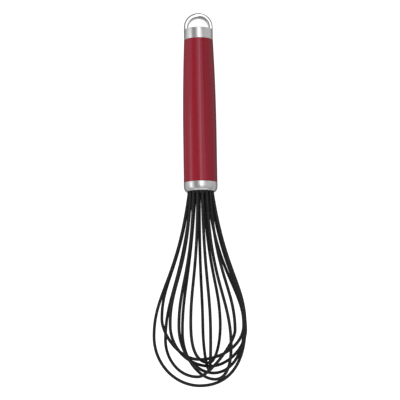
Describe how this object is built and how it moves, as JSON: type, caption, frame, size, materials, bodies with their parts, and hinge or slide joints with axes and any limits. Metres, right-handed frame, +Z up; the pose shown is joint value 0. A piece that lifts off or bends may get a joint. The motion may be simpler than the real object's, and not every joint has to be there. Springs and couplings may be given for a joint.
{
  "type": "balloon whisk",
  "caption": "Balloon whisk lying on a table: red grip with steel ferrule and end cap, hanging loop, and black coated wire loops.",
  "frame": {"origin": "on the table, under the middle of the whisk's outline as it lies at rest", "axes": "+Y runs along the whisk from the wires towards the hanging loop, +Z up from the table, +X across the whisk to the right seen from above with the hanging loop away from the viewer. The whisk lies on its lowest wires and the end cap, so its own axis is tilted 5.4 degrees, lower at the cap"},
  "size_m": [0.077, 0.3075, 0.0695],
  "materials": {
    "chrome": "polished chrome plate",
    "brushed_steel": "stainless steel brushed round its axis",
    "red_abs": "glossy deep red moulded plastic",
    "nylon": "dark moulded nylon",
    "resin": "black cast resin",
    "spring_wire": "drawn stainless spring wire",
    "black_coat": "satin black silicone coat"
  },
  "bodies": {
    "root": {"hanging_loop": "chrome", "end_cap": "brushed_steel", "end_plug": "nylon", "handle_grip": "red_abs", "ferrule": "brushed_steel", "wire_holder": "nylon", "resin_seal": "resin", "wire_core_1": "spring_wire", "wire_core_2": "spring_wire", "wire_core_3": "spring_wire", "wire_core_4": "spring_wire", "wire_core_5": "spring_wire", "wire_core_6": "spring_wire", "wire_core_7": "spring_wire", "wire_core_8": "spring_wire", "wire_coat_1": "black_coat", "wire_coat_2": "black_coat", "wire_coat_3": "black_coat", "wire_coat_4": "black_coat", "wire_coat_5": "black_coat", "wire_coat_6": "black_coat", "wire_coat_7": "black_coat", "wire_coat_8": "black_coat"}
  },
  "joints": []
}
